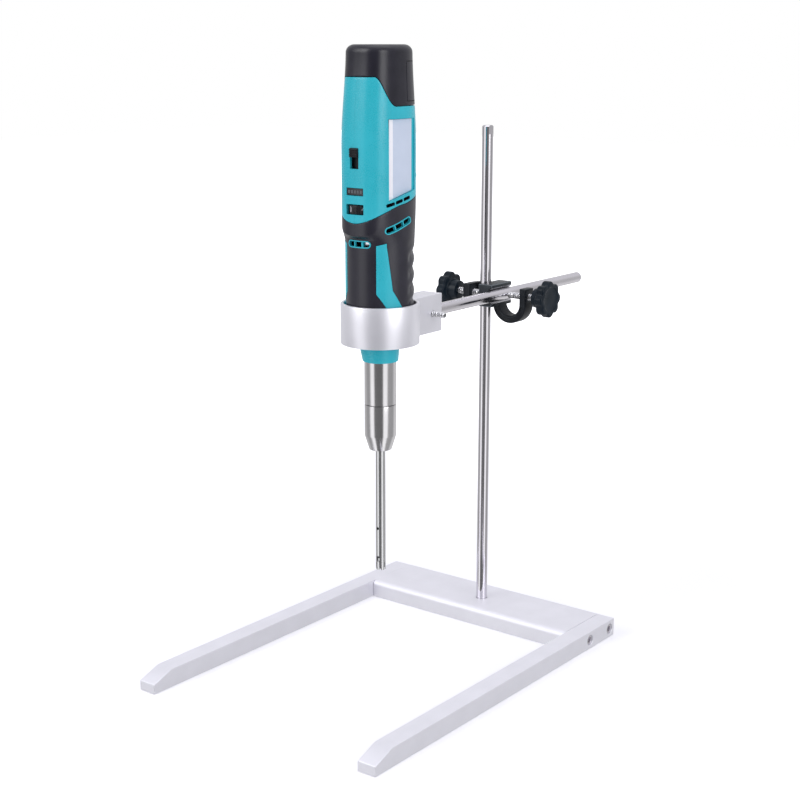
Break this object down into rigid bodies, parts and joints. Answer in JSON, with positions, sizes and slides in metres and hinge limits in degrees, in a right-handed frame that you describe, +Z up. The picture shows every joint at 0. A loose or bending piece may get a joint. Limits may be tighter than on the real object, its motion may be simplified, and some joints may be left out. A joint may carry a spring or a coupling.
{
  "type": "rotor stator homogenizer",
  "caption": "Cordless rotor stator homogenizer held by a ring and boss head on a U-shaped laboratory stand, with a removable battery and a slotted dispersing probe.",
  "frame": {"origin": "axis of the upright rod at the table plane, on the underside of the crossbar", "axes": "+Z up along the upright rod, -Y towards the homogenizer and the free ends of the legs, +X towards the leg on the label's side"},
  "size_m": [0.25, 0.447, 0.5208],
  "materials": {
    "satin_aluminium": "satin, glass-bead finished and clear anodised",
    "polished_steel": "polished stainless",
    "black_casting": "satin black coating on a die casting",
    "black_knob_plastic": "satin moulded",
    "teal_plastic": "satin gloss moulded",
    "charcoal_grip": "fine moulded texture",
    "dark_plastic": "satin moulded",
    "label_plastic": "satin film",
    "board_green": "solder mask",
    "copper_winding": "enamelled windings on a laminated core",
    "cell_wrap": "shrink wrap",
    "soft_black_rubber": "smooth",
    "white_polymer": "machined"
  },
  "bodies": {
    "base": {"crossbar": "satin_aluminium", "left_leg": "satin_aluminium", "right_leg": "satin_aluminium", "leg_screw_left_back": "polished_steel", "leg_screw_left_front": "polished_steel", "leg_screw_right_back": "polished_steel", "leg_screw_right_front": "polished_steel"},
    "column": {"upright_rod": "polished_steel"},
    "boss": {"boss_head": "black_casting"},
    "arm_screw": {"arm_clamp_screw": "polished_steel"},
    "arm_knob": {"arm_clamp_knob": "black_knob_plastic"},
    "column_screw": {"column_clamp_screw": "polished_steel"},
    "column_knob": {"column_clamp_knob": "black_knob_plastic"},
    "arm": {"arm_rod": "polished_steel"},
    "ring": {"ring_holder": "satin_aluminium"},
    "set_screw": {"ring_set_screw": "polished_steel"},
    "tool": {"housing_right": "teal_plastic", "housing_left": "teal_plastic", "grip_right": "charcoal_grip", "grip_left": "charcoal_grip", "accent_strip_right": "teal_plastic", "accent_strip_left": "teal_plastic", "side_vent_right": "teal_plastic", "side_vent_left": "teal_plastic", "front_vent": "teal_plastic", "label_plate": "label_plastic", "housing_screw_1": "polished_steel", "housing_screw_2": "polished_steel", "housing_screw_3": "polished_steel", "housing_screw_4": "polished_steel", "switch_body": "dark_plastic", "control_board": "board_green", "battery_gauge": "dark_plastic", "speed_potentiometer": "dark_plastic", "contact_block": "dark_plastic", "motor_can": "polished_steel", "motor_bush_lower": "polished_steel", "motor_bush_upper": "polished_steel", "motor_mount": "dark_plastic", "nose_cone": "teal_plastic", "coupling_sleeve": "polished_steel", "spindle_bearing": "polished_steel"},
    "switch": {"switch_slider": "dark_plastic"},
    "dial": {"speed_dial": "dark_plastic"},
    "battery": {"battery_shell": "dark_plastic", "battery_cell_1": "cell_wrap", "battery_cell_2": "cell_wrap", "battery_cell_3": "cell_wrap"},
    "latch_right": {"latch_button_right": "dark_plastic"},
    "latch_left": {"latch_button_left": "dark_plastic"},
    "motor": {"motor_armature": "copper_winding", "drive_coupling": "polished_steel"},
    "probe": {"probe_collar": "polished_steel", "collar_seal": "soft_black_rubber", "stator_tube": "polished_steel", "shaft_bush_upper": "white_polymer", "shaft_bush_lower": "white_polymer"},
    "probe_drive": {"drive_shaft": "polished_steel", "rotor": "polished_steel"}
  },
  "joints": [
    {"name": "column_swivel", "type": "hinge", "parent": "base", "child": "column", "pos_m": [0, 0, 0.012], "axis": [0, 0, 1], "range_deg": [-45, 45]},
    {"name": "boss_height", "type": "slide", "parent": "column", "child": "boss", "axis": [0, 0, 1], "range_m": [-0.09, 0.13]},
    {"name": "arm_screw_travel", "type": "slide", "parent": "boss", "child": "arm_screw", "axis": [1, 0, 0], "range_m": [0, 0.003]},
    {"name": "arm_knob_turn", "type": "hinge", "parent": "arm_screw", "child": "arm_knob", "pos_m": [0.056, 0.006, 0.304], "axis": [1, 0, 0], "range_deg": [0, 1080]},
    {"name": "column_screw_travel", "type": "slide", "parent": "boss", "child": "column_screw", "axis": [-1, 0, 0], "range_m": [0, 0.003]},
    {"name": "column_knob_turn", "type": "hinge", "parent": "column_screw", "child": "column_knob", "pos_m": [-0.036, 0, 0.304], "axis": [-1, 0, 0], "range_deg": [0, 1080]},
    {"name": "arm_reach", "type": "slide", "parent": "boss", "child": "arm", "axis": [0, 1, 0], "range_m": [-0.1, 0.08]},
    {"name": "ring_tilt", "type": "hinge", "parent": "arm", "child": "ring", "pos_m": [0.015, -0.115, 0.304], "axis": [0, 1, 0], "range_deg": [-90, 90]},
    {"name": "set_screw_turn", "type": "hinge", "parent": "ring", "child": "set_screw", "pos_m": [0.03, -0.1125, 0.304], "axis": [1, 0, 0], "range_deg": [0, 1080]},
    {"name": "tool_lift", "type": "slide", "parent": "ring", "child": "tool", "axis": [0, 0, 1], "range_m": [0, 0.235]},
    {"name": "switch_slide", "type": "slide", "parent": "tool", "child": "switch", "axis": [0, 0, -1], "range_m": [0, 0.008]},
    {"name": "dial_turn", "type": "hinge", "parent": "tool", "child": "dial", "pos_m": [0.015, -0.1932, 0.3968], "axis": [0, 0, 1], "range_deg": [-135, 135]},
    {"name": "battery_pull", "type": "slide", "parent": "tool", "child": "battery", "axis": [0, 0, 1], "range_m": [0, 0.08]},
    {"name": "latch_right_press", "type": "slide", "parent": "battery", "child": "latch_right", "axis": [-0.9099, -0.4149, 0], "range_m": [0, 0.0006], "stiffness_N_per_m": 600, "springref_m": -0.0008},
    {"name": "latch_left_press", "type": "slide", "parent": "battery", "child": "latch_left", "axis": [0.9099, -0.4149, 0], "range_m": [0, 0.0006], "stiffness_N_per_m": 600, "springref_m": -0.0008},
    {"name": "motor_spin", "type": "hinge", "parent": "tool", "child": "motor", "pos_m": [0.015, -0.17, 0.343], "axis": [0, 0, 1], "continuous": true},
    {"name": "probe_pull", "type": "slide", "parent": "tool", "child": "probe", "axis": [0, 0, -1], "range_m": [0, 0.027]},
    {"name": "shaft_spin", "type": "hinge", "parent": "probe", "child": "probe_drive", "pos_m": [0.015, -0.17, 0.18], "axis": [0, 0, 1], "continuous": true}
  ],
  "couplings": [
    {"joint": "arm_knob_turn", "follows": "arm_screw_travel", "rad_per_m": 6283.2},
    {"joint": "column_knob_turn", "follows": "column_screw_travel", "rad_per_m": 6283.2},
    {"joint": "shaft_spin", "follows": "motor_spin", "ratio": 1}
  ]
}
